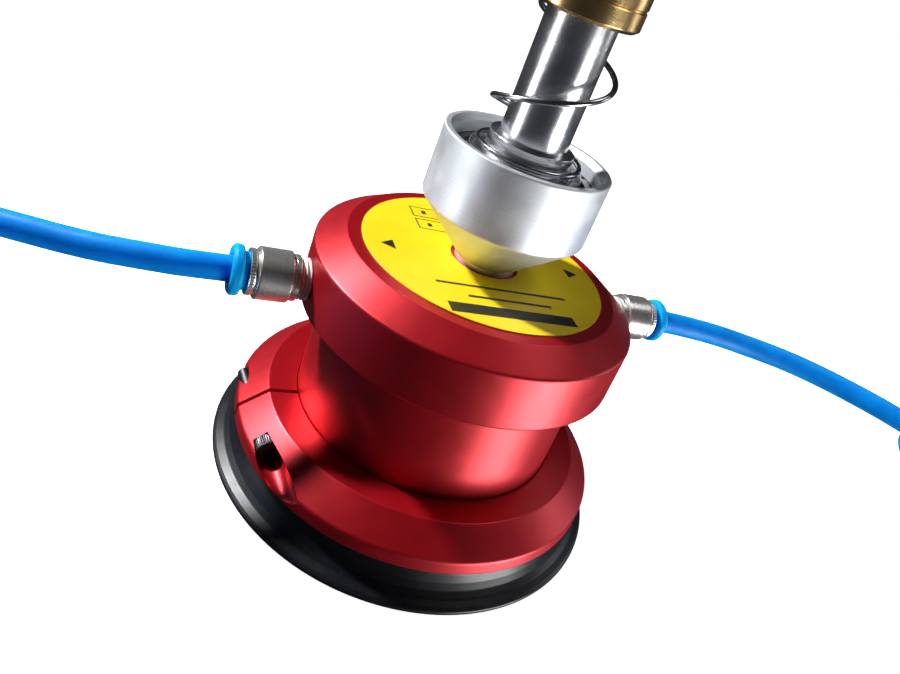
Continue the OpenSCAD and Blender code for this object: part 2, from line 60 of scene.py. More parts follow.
forward = (Vector(CAMERA_TARGET) - Vector(CAMERA_AT)).normalized()
level_right = forward.cross(Vector((0, 0, 1))).normalized()
level_up = level_right.cross(forward)
camera_right = math.cos(CAMERA_ROLL) * level_right + math.sin(CAMERA_ROLL) * level_up
camera_up = math.cos(CAMERA_ROLL) * level_up - math.sin(CAMERA_ROLL) * level_right

camera_data = bpy.data.cameras.new("camera")
camera_data.sensor_width = 36
camera_data.lens = 31.72
camera_data.shift_x = -0.0337
camera_data.shift_y = -0.0750
camera_data.clip_start = 0.005
camera_data.clip_end = 60
camera = bpy.data.objects.new("camera", camera_data)
camera.matrix_world = Matrix.Translation(mm(*CAMERA_AT)) @ Matrix(
    (camera_right, camera_up, -forward)
).transposed().to_4x4()
bpy.context.scene.collection.objects.link(camera)
bpy.context.scene.camera = camera

to_camera = Vector((-forward.x, -forward.y, 0)).normalized()
LIGHT_TARGET = mm(0, 0, 50)


def area_light(name, azimuth, elevation, distance, size, power):
    """A white soft box aimed at the head; azimuth is measured from the camera, to its right."""
    a, e = math.radians(azimuth), math.radians(elevation)
    level = math.cos(a) * to_camera + math.sin(a) * level_right
    direction = math.cos(e) * level + math.sin(e) * Vector((0, 0, 1))
    data = bpy.data.lights.new(name, "AREA")
    data.shape = "RECTANGLE"
    data.size, data.size_y = size
    data.energy = power
    light = bpy.data.objects.new(name, data)
    light.location = LIGHT_TARGET + direction * distance
    light.rotation_euler = direction.to_track_quat("Z", "Y").to_euler()
    light.visible_camera = False
    bpy.context.scene.collection.objects.link(light)
    return light


# Name, azimuth, elevation, distance in metres, size in metres and power in watts
area_light("key_light", -97, 38.5, 0.9, (0.07, 0.07), 14)
area_light("right_box", 70, -22, 0.6, (0.3, 0.36), 4.0)
metal_strip = area_light("left_strip", -64, -12, 0.6, (0.12, 0.36), 1.2)
area_light("low_left", -74, -14, 0.6, (0.04, 0.2), 0.16)
area_light("high_box", 120, 60, 0.8, (0.3, 0.2), 0.7)
area_light("far_right", 112, 12, 0.7, (0.2, 0.3), 0.5)

world = bpy.data.worlds.new("studio")
bpy.context.scene.world = world
world.use_nodes = True
sky = world.node_tree.nodes
wire = world.node_tree.links.new
background = sky["Background"]
direction = sky.new("ShaderNodeTexCoord")
direction_xyz = sky.new("ShaderNodeSeparateXYZ")
ramp = sky.new("ShaderNodeValToRGB")
wire(direction.outputs["Generated"], direction_xyz.inputs[0])
wire(direction_xyz.outputs["Z"], ramp.inputs["Fac"])
wire(ramp.outputs["Color"], background.inputs["Color"])
ramp.color_ramp.elements[0].position = 0.0
ramp.color_ramp.elements[0].color = (0.035, 0.036, 0.042, 1)
ramp.color_ramp.elements[1].position = 0.7
ramp.color_ramp.elements[1].color = (0.012, 0.012, 0.014, 1)
background.inputs["Strength"].default_value = 1.0

bpy.context.scene.view_settings.view_transform = "Standard"

# ---------------------------------------------------------------- materials


class Shader:
    """A node material: short calls for the few nodes that these finishes need."""

    # A Mix node's colour sockets share their names with others, so they go by number.
    MIX_FIRST, MIX_SECOND, MIX_RESULT = 6, 7, 2

    def __init__(self, name, colour, rough, metallic=0.0, **extra):
        self.material = bpy.data.materials.new(name)
        self.material.use_nodes = True
        self.nodes = self.material.node_tree.nodes
        self.link = self.material.node_tree.links.new
        self.bsdf = self.nodes["Principled BSDF"]
        self.set("Base Color", (*colour, 1))
        self.set("Roughness", rough)
        self.set("Metallic", metallic)
        for key, value in extra.items():
            self.set(key.replace("_", " "), value)
        self.place = self.nodes.new("ShaderNodeTexCoord").outputs["Object"]

    def set(self, socket, value):
        self.bsdf.inputs[socket].default_value = value

    def math(self, kind, a, b=0.0):
        n = self.nodes.new("ShaderNodeMath")
        n.operation = kind
        for i, v in enumerate((a, b)):
            if isinstance(v, (int, float)):
                n.inputs[i].default_value = v
            else:
                self.link(v, n.inputs[i])
        return n.outputs[0]

    def vector(self, kind, a, b=(0, 0, 0)):
        n = self.nodes.new("ShaderNodeVectorMath")
        n.operation = kind
        for i, v in enumerate((a, b)):
            if isinstance(v, tuple):
                n.inputs[i].default_value = v
            else:
                self.link(v, n.inputs[i])
        return n.outputs["Value" if kind == "LENGTH" else "Vector"]

    def turned(self, centre=(0, 0, 0), axis="Z"):
        """(radius, height, 0) about an axis, so that noise on it runs round like tool marks."""
        local = self.vector("SUBTRACT", self.place, tuple(v * MM for v in centre))
        keep = tuple(0.0 if k == axis else 1.0 for k in "XYZ")
        radius = self.vector("LENGTH", self.vector("MULTIPLY", local, keep))
        apart = self.nodes.new("ShaderNodeSeparateXYZ")
        self.link(local, apart.inputs[0])
        join = self.nodes.new("ShaderNodeCombineXYZ")
        self.link(radius, join.inputs[0])
        self.link(apart.outputs[axis], join.inputs[1])
        return join.outputs[0]

    def noise(self, scale, detail=3.0, rough=0.55, where=None):
        n = self.nodes.new("ShaderNodeTexNoise")
        self.link(where or self.place, n.inputs["Vector"])
        n.inputs["Scale"].default_value = scale
        n.inputs["Detail"].default_value = detail
        n.inputs["Roughness"].default_value = rough
        return n.outputs["Fac"]

    def spread(self, value, low, high, to_low, to_high):
        """Maps low..high, where most of a noise lies, onto to_low..to_high."""
        n = self.nodes.new("ShaderNodeMapRange")
        self.link(value, n.inputs["Value"])
        n.inputs["From Min"].default_value = low
        n.inputs["From Max"].default_value = high
        n.inputs["To Min"].default_value = to_low
        n.inputs["To Max"].default_value = to_high
        return n.outputs["Result"]

    def colours(self, fac, first, second):
        n = self.nodes.new("ShaderNodeMix")
        n.data_type = "RGBA"
        self.link(fac, n.inputs["Factor"])
        for number, value in ((self.MIX_FIRST, first), (self.MIX_SECOND, second)):
            if isinstance(value, tuple):
                n.inputs[number].default_value = (*value, 1)
            else:
                self.link(value, n.inputs[number])
        return n.outputs[self.MIX_RESULT]

    def colour(self, value):
        self.link(value, self.bsdf.inputs["Base Color"])

    def rough(self, value):
        self.link(value, self.bsdf.inputs["Roughness"])

    def bump(self, height, depth, strength=1.0):
        """Bump whose full swing is depth millimetres."""
        n = self.nodes.new("ShaderNodeBump")
        self.link(height, n.inputs["Height"])
        n.inputs["Distance"].default_value = depth * MM
        n.inputs["Strength"].default_value = strength
        previous = self.bsdf.inputs["Normal"].links
        if previous:
            self.link(previous[0].from_socket, n.inputs["Normal"])
        self.link(n.outputs["Normal"], self.bsdf.inputs["Normal"])


def anodised_red():
    s = Shader("anodised_red", (0.55, 0.003, 0.012), 0.42, 0.6, Coat_Weight=0.35, Coat_Roughness=0.38)
    cloud = s.noise(60, 3)
    grain = s.noise(4200, 2)
    s.colour(s.colours(s.spread(cloud, 0.35, 0.65, 0, 1), (0.52, 0.0025, 0.011), (0.58, 0.004, 0.015)))
    s.rough(s.spread(s.noise(240, 4), 0.3, 0.7, 0.37, 0.43))
    s.bump(grain, 0.006, 0.5)
    s.bump(s.noise(2600, 2, where=s.turned()), 0.006, 0.35)
    return s.material


def turned_metal(
    name, colour, rough, depth, centre=(0, 0, 0), axis="Z", stain=None, lines=2200, metallic=1.0
):
    """Metal with fine tool marks round an axis, and darker stains if a stain colour is given."""
    s = Shader(name, colour, rough, metallic)
    marks = s.noise(lines, 3, 0.6, where=s.turned(centre, axis))
    dull = s.noise(130, 4)
    if stain:
        s.colour(s.colours(s.spread(dull, 0.42, 0.68, 0, 1), colour, stain))
    else:
        shade = tuple(c * 0.9 for c in colour)
        s.colour(s.colours(s.spread(marks, 0.3, 0.7, 0, 1), shade, colour))
    s.rough(s.spread(dull, 0.3, 0.7, rough * 0.85, rough * 1.25))
    s.bump(marks, depth)
    return s.material


def black_rubber():
    s = Shader("black_rubber", (0.012, 0.013, 0.015), 0.36, 0.0, Specular_IOR_Level=0.4)
    dust = s.noise(1500, 3, 0.7)
    s.colour(s.colours(s.spread(dust, 0.55, 0.8, 0, 1), (0.006, 0.007, 0.01), (0.022, 0.024, 0.03)))
    s.rough(s.spread(s.noise(90, 4), 0.3, 0.7, 0.3, 0.42))
    s.bump(s.noise(2500, 2), 0.02, 0.6)
    s.bump(s.noise(700, 2, where=s.turned()), 0.03, 0.5)
    return s.material


def tube_blue(name, colour, rough):
    s = Shader(name, colour, rough, 0.0, Specular_IOR_Level=0.12, Subsurface_Weight=0.7,
               Subsurface_Radius=(0.3, 0.7, 1.0), Subsurface_Scale=0.006)
    deep = tuple(c * 0.82 for c in colour)
    s.colour(s.colours(s.spread(s.noise(170, 3), 0.3, 0.7, 0, 1), deep, colour))
    s.rough(s.spread(s.noise(500, 3), 0.3, 0.7, rough * 0.85, rough * 1.2))
    s.bump(s.noise(900, 2), 0.015, 0.6)
    return s.material


def plain(name, colour, rough, metallic=0.0, depth=0.01, scale=1200):
    """One colour with a fine grain."""
    s = Shader(name, colour, rough, metallic)
    fine = s.noise(scale, 3)
    low = tuple(c * 0.85 for c in colour)
    s.colour(s.colours(s.spread(fine, 0.3, 0.7, 0, 1), low, colour))
    s.rough(s.spread(s.noise(scale / 6, 3), 0.3, 0.7, rough * 0.88, rough * 1.15))
    s.bump(fine, depth)
    return s.material


def woven_black():
    s = Shader("woven_black", (0.02, 0.02, 0.022), 0.85, 0.0, Sheen_Weight=0.3)
    wave = s.nodes.new("ShaderNodeTexWave")
    wave.inputs["Scale"].default_value = 700
    wave.inputs["Distortion"].default_value = 1.5
    s.link(s.place, wave.inputs["Vector"])
    s.colour(s.colours(wave.outputs["Fac"], (0.012, 0.012, 0.013), (0.05, 0.05, 0.055)))
    s.bump(wave.outputs["Fac"], 0.15)
    return s.material


# Printed marks on the label: x from, x to, y from, y to, in millimetres
SOLID_MARKS = [
    (-16, 15, -25, -21.2), (-10, 11, -18.4, -17.5), (-16.5, 16.5, -14, -13.1),
    (-11.2, -10, 19, 20.8), (-11.2, -10, 12.6, 14.2),
]
BOX_MARKS = [(-14, 14, 17.2, 22.5), (-14, 14, 10.8, 16)]
BOX_LINE = 0.35
# An arrowhead beside each port: its reach from the axis, its half width and its slope
ARROW_FROM = 23
ARROW_TO = 26.4
ARROW_HALF = 3
ARROW_SLOPE = 1.6


def label_yellow():
    s = Shader("label_yellow", (0.93, 0.68, 0.01), 0.42, 0.0, Coat_Weight=0.12, Coat_Roughness=0.3)

    def inside(x0, x1, y0, y1):
        """1 inside a rectangle of the label and 0 outside it."""
        centre = ((x0 + x1) / 2 * MM, (y0 + y1) / 2 * MM, 0)
        per_half = (2 / MM / (x1 - x0), 2 / MM / (y1 - y0), 0)
        local = s.vector("SUBTRACT", s.place, centre)
        reach = s.vector("ABSOLUTE", s.vector("MULTIPLY", local, per_half))
        apart = s.nodes.new("ShaderNodeSeparateXYZ")
        s.link(reach, apart.inputs[0])
        return s.math("LESS_THAN", s.math("MAXIMUM", apart.outputs[0], apart.outputs[1]), 1.0)

    ink = None
    for mark in SOLID_MARKS:
        on = inside(*mark)
        ink = on if ink is None else s.math("MAXIMUM", ink, on)
    for x0, x1, y0, y1 in BOX_MARKS:
        hollow = inside(x0 + BOX_LINE, x1 - BOX_LINE, y0 + BOX_LINE, y1 - BOX_LINE)
        rim = s.math("SUBTRACT", inside(x0, x1, y0, y1), hollow)
        ink = s.math("MAXIMUM", ink, rim)
    # The arrowheads point out at the fittings
    apart = s.nodes.new("ShaderNodeSeparateXYZ")
    s.link(s.place, apart.inputs[0])
    out = s.math("ABSOLUTE", apart.outputs[0])
    side = s.math("ABSOLUTE", apart.outputs[1])
    slope = s.math("ADD", out, s.math("MULTIPLY", side, ARROW_SLOPE))
    head = s.math(
        "MULTIPLY", s.math("LESS_THAN", slope, ARROW_TO * MM), s.math("GREATER_THAN", out, ARROW_FROM * MM)
    )
    head = s.math("MULTIPLY", head, s.math("LESS_THAN", side, ARROW_HALF * MM))
    ink = s.math("MAXIMUM", ink, head)
    cloud = s.spread(s.noise(90, 4), 0.3, 0.7, 0, 1)
    paper = s.colours(cloud, (0.93, 0.66, 0.008), (0.97, 0.74, 0.015))
    s.colour(s.colours(ink, paper, (0.02, 0.018, 0.012)))
    s.rough(s.spread(s.noise(400, 3), 0.3, 0.7, 0.36, 0.48))
    s.bump(s.noise(1800, 2), 0.006)
    s.bump(ink, 0.02, 0.5)
    return s.material


RED = anodised_red()
RUBBER = black_rubber()
YELLOW = label_yellow()
SATIN = turned_metal("satin_aluminium", (0.76, 0.80, 0.84), 0.5, 0.01, metallic=0.8)
STEEL = turned_metal("polished_steel", (0.72, 0.73, 0.75), 0.23, 0.004, lines=1200)
BRASS = turned_metal("aged_brass", (0.72, 0.5, 0.22), 0.24, 0.01, stain=(0.42, 0.26, 0.1))
ZINC = plain("zinc_steel", (0.62, 0.63, 0.64), 0.3, 1.0)
BLACK_STEEL = plain("black_steel", (0.1, 0.1, 0.105), 0.4, 1.0)
WIRE = plain("spring_wire", (0.5, 0.51, 0.53), 0.2, 1.0, depth=0.004, scale=2500)
GROUND = turned_metal("ground_steel", (0.6, 0.6, 0.6), 0.34, 0.01)
NYLON = plain("ivory_nylon", (0.78, 0.74, 0.62), 0.5)
SEAL = plain("seal_rubber", (0.015, 0.015, 0.016), 0.5)
SEALANT = plain("thread_sealant", (0.78, 0.78, 0.76), 0.62, depth=0.03, scale=2200)
BLUE = tube_blue("tube_blue", (0.002, 0.32, 0.95), 0.42)
RING_BLUE = tube_blue("ring_blue", (0.004, 0.42, 1.0), 0.36)
WOVEN = woven_black()

# The underside of each fitting's flange, 2.4 mm off the housing's side with its thread between
PORTS = {"left": (-42.4, 0, 50.5), "right": (42.4, 0, 53.0)}


def nickel(name, centre, axis):
    return turned_metal(name, (0.82, 0.8, 0.78), 0.26, 0.004, centre, axis, lines=1500, metallic=0.85)


# ---------------------------------------------------------------- mesh building

# In metres and square metres
MERGE_WITHIN = 1e-7
SLIVER_AREA = 1e-13


# A support point's distance from its arc, and its largest share of the edge it stands on
SUPPORT_GAP = 0.3
SUPPORT_SHARE = 0.06


def rounded(profile, steps=5):
    """A closed outline of (radius, height, corner radius) with its corners rounded, and a
    support point beside each arc, so that smooth shading stays inside the corner."""
    points = []
    count = len(profile)
    for i, corner in enumerate(profile):
        here = Vector(corner[:2])
        r = corner[2] if len(corner) > 2 else 0.0
        if r <= 0:
            points.append(tuple(here))
            continue
        before = Vector(profile[i - 1][:2]) - here
        after = Vector(profile[(i + 1) % count][:2]) - here
        half = before.angle(after) / 2
        reach = min(r / math.tan(half), before.length * 0.42, after.length * 0.42)
        a = here + before.normalized() * reach
        b = here + after.normalized() * reach
        gap = min(SUPPORT_GAP, before.length * SUPPORT_SHARE)
        points.append(tuple(a + before.normalized() * gap))
        for k in range(steps + 1):
            t = k / steps
            points.append(tuple((1 - t) ** 2 * a + 2 * t * (1 - t) * here + t * t * b))
        gap = min(SUPPORT_GAP, after.length * SUPPORT_SHARE)
        points.append(tuple(b + after.normalized() * gap))
    return points


def add_lathe(bm, profile, place=Matrix.Identity(4), segments=160, slot=0, ripple=None):
    """Turns a closed outline about Z. ripple is (count, depth, from height, to height, from radius)
    and cuts upright grooves into that band."""
    outline = rounded(profile)
    rings = []
    for j in range(segments):
        angle = 2 * math.pi * j / segments
        ring = []
        for r, z in outline:
            if ripple:
                grooves, depth, from_z, to_z, from_r = ripple
                if from_z <= z <= to_z and r > from_r:
                    r -= depth * (0.5 - 0.5 * math.cos(grooves * angle))
            ring.append(bm.verts.new(place @ mm(r * math.cos(angle), r * math.sin(angle), z)))
        rings.append(ring)
    count = len(outline)
    for j in range(segments):
        a, b = rings[j], rings[(j + 1) % segments]
        for i in range(count):
            k = (i + 1) % count
            if outline[i][0] < 1e-6 and outline[k][0] < 1e-6:
                continue
            face = bm.faces.new((a[i], b[i], b[k], a[k]))
            face.material_index = slot


def add_thread(bm, radius, depth, pitch, z0, z1, place=Matrix.Identity(4), segments=72, slot=0):
    """A screw thread as one closed skin, eight rows to a turn, fading out at both ends."""
    rows = int((z1 - z0) / pitch * 8)
    grid = []
    for i in range(rows + 1):
        z = z0 + (z1 - z0) * i / rows
        ring = []
        for j in range(segments):
            angle = 2 * math.pi * j / segments
            phase = ((z - z0) / pitch - j / segments) % 1.0
            crest = depth * min(1.0, 2.4 * abs(phase - 0.5))
            fade = min(1.0, (z - z0) / pitch * 2, (z1 - z) / pitch * 1.2)
            r = radius - depth * (1 - fade) - (depth - crest) * fade
            ring.append(bm.verts.new(place @ mm(r * math.cos(angle), r * math.sin(angle), z)))
        grid.append(ring)
    for i in range(rows):
        for j in range(segments):
            k = (j + 1) % segments
            face = bm.faces.new((grid[i][j], grid[i][k], grid[i + 1][k], grid[i + 1][j]))
            face.material_index = slot
    for ring, z in ((grid[0], z0), (grid[-1], z1)):
        centre = bm.verts.new(place @ mm(0, 0, z))
        for j in range(segments):
            face = bm.faces.new((ring[j], ring[(j + 1) % segments], centre))
            face.material_index = slot


def add_hex(bm, across, bore, z0, z1, chamfer, slot=0, place=Matrix.Identity(4)):
    """A hexagon nut with a bore, its corners cut by a shallow cone at both faces."""
    segments = 96
    edge = 0.15
    face_r = across / 2 - 2 * edge
    corner = across / 2 / math.cos(math.pi / 6)
    rings = []
    for j in range(segments):
        angle = 2 * math.pi * j / segments
        flat = across / 2 / math.cos((angle + math.pi / 6) % (math.pi / 3) - math.pi / 6)
        drop = edge + max(0.0, (flat - across / 2)) / (corner - across / 2) * chamfer
        section = ((bore, z0), (face_r, z0), (flat, z0 + drop), (flat, z1 - drop), (face_r, z1), (bore, z1))
        rings.append([
            bm.verts.new(place @ mm(r * math.cos(angle), r * math.sin(angle), z)) for r, z in section
        ])
    count = len(rings[0])
    for j in range(segments):
        a, b = rings[j], rings[(j + 1) % segments]
        for i in range(count):
            k = (i + 1) % count
            face = bm.faces.new((a[i], b[i], b[k], a[k]))
            face.material_index = slot


def add_sweep(bm, path, radius, sides=14):
    """A round wire along a path, capped at both ends."""
    rings = []
    for i, p in enumerate(path):
        along = (path[min(i + 1, len(path) - 1)] - path[max(i - 1, 0)]).normalized()
        side = along.cross(Vector((0, 0, 1))).normalized()
        up = side.cross(along)
        rings.append([
            bm.verts.new((p + radius * (math.cos(a) * side + math.sin(a) * up)) * MM)
            for a in (2 * math.pi * k / sides for k in range(sides))
        ])
    for a, b in zip(rings, rings[1:]):
        for k in range(sides):
            bm.faces.new((a[k], a[(k + 1) % sides], b[(k + 1) % sides], b[k]))
    bm.faces.new(list(reversed(rings[0])))
    bm.faces.new(rings[-1])


def merge(bm):
    bmesh.ops.remove_doubles(bm, verts=bm.verts, dist=MERGE_WITHIN)


def finish_piece(name, bm, body, materials, replaced, sharp=35):
    """Makes an object of a bmesh, riding on a body and standing for the CAD nodes in replaced."""
    merge(bm)
    slivers = [f for f in bm.faces if f.calc_area() < SLIVER_AREA]
    bmesh.ops.delete(bm, geom=slivers, context="FACES_ONLY")
    bmesh.ops.recalc_face_normals(bm, faces=bm.faces)
    mesh = bpy.data.meshes.new(name)
    bm.to_mesh(mesh)
    bm.free()
    mesh.polygons.foreach_set("use_smooth", [True] * len(mesh.polygons))
    mesh.set_sharp_from_angle(angle=math.radians(sharp))
    piece = bpy.data.objects.new(name, mesh)
    bpy.context.scene.collection.objects.link(piece)
    for material in materials:
        mesh.materials.append(material)
    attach(piece, body)
    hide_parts(*replaced)
    return piece


def carve(piece, cutters, sharp=35):
    """Cuts bmesh cutters out of a finished piece."""
    for bm in cutters:
        bmesh.ops.recalc_face_normals(bm, faces=bm.faces)
        mesh = bpy.data.meshes.new("cutter")
        bm.to_mesh(mesh)
        bm.free()
        cutter = bpy.data.objects.new("cutter", mesh)
        bpy.context.scene.collection.objects.link(cutter)
        modifier = piece.modifiers.new("cut", "BOOLEAN")
        modifier.operation = "DIFFERENCE"
        modifier.solver = "EXACT"
        modifier.object = cutter
        bpy.context.view_layer.update()
        cut = bpy.data.meshes.new_from_object(
            piece.evaluated_get(bpy.context.evaluated_depsgraph_get())
        )
        piece.modifiers.clear()
        piece.data = cut
        bpy.data.objects.remove(cutter)
    piece.data.polygons.foreach_set("use_smooth", [True] * len(piece.data.polygons))
    piece.data.set_sharp_from_angle(angle=math.radians(sharp))


def turn(axis, degrees):
    return Matrix.Rotation(math.radians(degrees), 4, axis)


def at(x, y, z):
    return Matrix.Translation(mm(x, y, z))


# ---------------------------------------------------------------- air tubes and their coils

TUBE_R = 3.0
# From one turn of a coil to the next, its outermost turn's radius and the heights of its layers
COIL_PITCH = 6.1
COIL_OUTER = 38.4
COIL_TOP_Z = 9.9
COIL_LOW_Z = 3.8
# The straight end of the tube: its height, its length to the release ring, how far the ring stands
# from the fitting's flange, and how far the tube stops short of that flange
TAIL_Z = 6.8
TAIL_LEN = 28.0
FLANGE_TO = 14.6
TUBE_END = 0.6
# Each coil's centre, the azimuth where its tube lands on it, half its winding in degrees
# and the azimuth of its tie
COILS = {"left": (-149, -9, 180, 630, 270), "right": (246, -9, 270, 585, 180)}
ROUTES = {
    "left": [
        (-43, 0, 50.5), (-50, 0, 50.5), (-58, 0, 50.5), (-67, 0.5, 50.1), (-75, 2, 49.5),
        (-82.5, 4, 48.7), (-90, 7, 47.8), (-97.5, 10, 47.2), (-105, 13.5, 46.2),
        (-113, 18, 43.5), (-121, 22.5, 39.5), (-129, 26.5, 34.5), (-137.5, 30, 29.5),
        (-146.5, 32.4, 24.8), (-155.5, 32.2, 20.8), (-164, 29.4, 17.6), (-171.5, 24.5, 14.9),
        (-177.8, 18, 12.8), (-182.6, 10.2, 11.2), (-186, 1, 10.2),
    ],
    "right": [
        (43, 0, 53), (50, 0, 53), (58, 0, 53), (66, 0, 52.5), (73, -0.5, 52.1),
        (80, -1.5, 51.7), (87, -3, 51.2), (94, -5.5, 51), (101, -9, 51), (108, -13.5, 50.9),
        (115, -19.5, 50.9), (121.5, -27, 51.1), (128, -33.6, 50.7), (135.6, -38.6, 49.4),
        (144, -42.2, 46.5), (153, -44.6, 42.3), (162, -46, 37.2), (171, -46.8, 31.6),
        (180, -47.2, 26), (189, -47.4, 21), (198, -47.4, 16.8), (207, -47.4, 13.6),
        (216, -47.4, 11.5), (225, -47.4, 10.3), (235, -47.4, 9.9),
    ],
}


def coil_path(side):
    """Spirals in over the top layer, drops to the lower one and spirals out again. The turn of
    the spiral is eased over blend degrees, and the drop takes fall_over degrees to each side."""
    cx, cy, start, half, _ = COILS[side]
    blend = 40
    fall_over = 58
    slope = COIL_PITCH / 360
    inner = COIL_OUTER - slope * half
    points = []
    for step in range(0, 2 * half, 6):
        away = abs(step - half)
        r = inner + slope * (away if away > blend else away * away / (2 * blend) + blend / 2)
        fall = min(max((step - half + fall_over) / (2 * fall_over), 0), 1)
        fall = fall * fall * (3 - 2 * fall)
        z = COIL_TOP_Z + (COIL_LOW_Z - COIL_TOP_Z) * fall
        a = math.radians(start + step)
        points.append((cx + r * math.cos(a), cy + r * math.sin(a), z))
    return points


def tail_path(side):
    """Straight on from the coil, rising to the height of the end fitting."""
    cx, cy = COILS[side][:2]
    points = []
    length = TAIL_LEN + FLANGE_TO - TUBE_END
    steps = 14
    for i in range(steps + 1):
        y = length * i / steps
        rise = min(y / (TAIL_LEN - 2), 1)
        rise = rise * rise * (3 - 2 * rise)
        points.append((cx + COIL_OUTER, cy + y, COIL_LOW_Z + (TAIL_Z - COIL_LOW_Z) * rise))
    return points


def dense(points, gap=2.0):
    """Catmull-Rom points along a route, about one every gap."""
    p = [Vector(v) for v in points]
    out = []
    for i in range(len(p) - 1):
        a, b, c, d = p[max(i - 1, 0)], p[i], p[i + 1], p[min(i + 2, len(p) - 1)]
        n = max(1, round((c - b).length / gap))
        for k in range(n):
            t = k / n
            out.append(0.5 * (2 * b + (c - a) * t + (2 * a - 5 * b + 4 * c - d) * t * t
                              + (3 * b - a - 3 * c + d) * t ** 3))
    out.append(p[-1])
    return out


def air_tube(side):
    """The whole tube of one side, from inside its fitting to inside the end fitting."""
    path = dense(ROUTES[side] + coil_path(side) + tail_path(side))
    curve = bpy.data.curves.new("hose_" + side, "CURVE")
    curve.dimensions = "3D"
    curve.bevel_depth = TUBE_R * MM
    curve.bevel_resolution = 6
    curve.use_fill_caps = True
    spline = curve.splines.new("POLY")
    spline.points.add(len(path) - 1)
    for point, p in zip(spline.points, path):
        point.co = (*(p * MM), 1)
    spline.use_smooth = True
    curve.materials.append(BLUE)
    hose = bpy.data.objects.new("hose_" + side, curve)
    bpy.context.scene.collection.objects.link(hose)
    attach(hose, "housing")
    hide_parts("air_tube_" + side, "tube_coil_" + side, "tail_tube_" + side)
    return hose


# ---------------------------------------------------------------- push-in fittings

# G1/8 thread, and the slots of a fitting's materials
PORT_THREAD_R = 4.86
PORT_THREAD_DEPTH = 0.42
PORT_THREAD_PITCH = 0.907
NICKEL_SLOT = 0
SEALANT_SLOT = 1


def build_fitting(name, place, centre, axis, replaced):
    """Its thread points down from z 0, where the flange stands, and its tube end points up."""
    bm = bmesh.new()
    add_thread(
        bm, PORT_THREAD_R, PORT_THREAD_DEPTH, PORT_THREAD_PITCH, -8.9, 0.35, place, 96, SEALANT_SLOT
    )
    body = [
        (3.1, 0.1), (4.3, 0.0), (5.3, 0.0, 0.2), (5.3, 1.1, 0.15), (5.05, 1.25), (5.05, 1.6),
        (5.9, 1.75, 0.35), (5.9, 4.5), (5.9, 8.9, 0.55), (5.1, 9.3, 0.1), (5.1, 9.7),
        (5.25, 9.85, 0.12), (5.25, 10.9, 0.2), (4.5, 10.9, 0.1), (4.5, 5.8), (4.4, 5.8), (4.4, 3.2),
        (3.1, 3.2),
    ]
    add_lathe(bm, body, place, 144, NICKEL_SLOT, ripple=(48, 0.1, 9.8, 10.8, 5.15))
    metal = nickel(name + "_nickel", centre, axis)
    return finish_piece(name, bm, "housing", [metal, SEALANT], [replaced])


def build_release_ring(name, place, body, replaced):
    bm = bmesh.new()
    ring = [
        (3.05, 7.8), (4.3, 7.8, 0.1), (4.3, 12.2), (5.4, 12.2, 0.35), (5.7, 12.8, 0.3),
        (5.7, 13.9, 0.5), (5.1, 14.6, 0.4), (3.4, 14.6, 0.3), (3.05, 14.2),
    ]
    add_lathe(bm, ring, place, 96)
    return finish_piece(name, bm, body, [RING_BLUE], [replaced])


fitting_places = {
    "left": at(*PORTS["left"]) @ turn("Z", 180) @ turn("Y", 90),
    "right": at(*PORTS["right"]) @ turn("Y", 90),
}
head_fittings = []
for side, place in fitting_places.items():
    head_fittings.append(
        build_fitting("fitting_metal_" + side, place, PORTS[side], "X", "fitting_" + side)
    )
    build_release_ring("release_" + side, place, "release_ring_" + side, "release_ring_" + side)


def build_tie(side):
    """A flat woven strap round the coil's section, built at its front and turned to its place."""
    cx, cy, _, _, azimuth = COILS[side]
    place = at(cx, cy, 0) @ turn("Z", azimuth - 270)
    thick = 0.6
    edge_lower = 0.25
    outer_r, inner_r = COIL_OUTER + TUBE_R + 0.05, 24.65
    low_z, top_z = 0.8, 12.9
    corner = 2.4
    # Each corner: its y, its z, which way it points in y and z, and where its arc starts
    corners = [
        (-outer_r, low_z, -1, -1, 180), (-inner_r, low_z, 1, -1, 270),
        (-inner_r, top_z, 1, 1, 0), (-outer_r, top_z, -1, 1, 90),
    ]
    half_width = 3.4
    bm = bmesh.new()
    loops = []
    for offset in (0.0, thick):
        rows = []
        for w in (-half_width, -3.0, 0.0, 3.0, half_width):
            d = corner + (offset - edge_lower if abs(w) == half_width and offset else offset)
            row = []
            for y, z, to_y, to_z, start in corners:
                for m in range(7):
                    a = math.radians(start + 15 * m)
                    arc_y = y - to_y * corner + d * math.cos(a)
                    arc_z = z - to_z * corner + d * math.sin(a)
                    row.append(bm.verts.new(place @ mm(w, arc_y, arc_z)))
            rows.append(row)
        loops.append(rows)
    inner, outer = loops
    count = len(inner[0])
    for rows in (inner, outer):
        for a, b in zip(rows, rows[1:]):
            for i in range(count):
                k = (i + 1) % count
                bm.faces.new((a[i], a[k], b[k], b[i]))
    for end in (0, -1):
        for i in range(count):
            k = (i + 1) % count
            bm.faces.new((inner[end][i], inner[end][k], outer[end][k], outer[end][i]))
    return finish_piece(
        "strap_" + side, bm, "housing", [WOVEN], ["coil_tie_" + side], sharp=50
    )


for side, (cx, cy, *_) in COILS.items():
    hose = air_tube(side)
    place = at(cx + COIL_OUTER, cy + TAIL_LEN + FLANGE_TO, TAIL_Z) @ turn("X", 90)
    centre = (cx + COIL_OUTER, cy, TAIL_Z)
    plug = build_fitting("end_metal_" + side, place, centre, "Y", "end_fitting_" + side)
    plug_ring = build_release_ring(
        "end_release_" + side, place, "end_release_ring_" + side, "end_release_ring_" + side
    )
    strap = build_tie(side)

# ---------------------------------------------------------------- housing, label, ring and lip

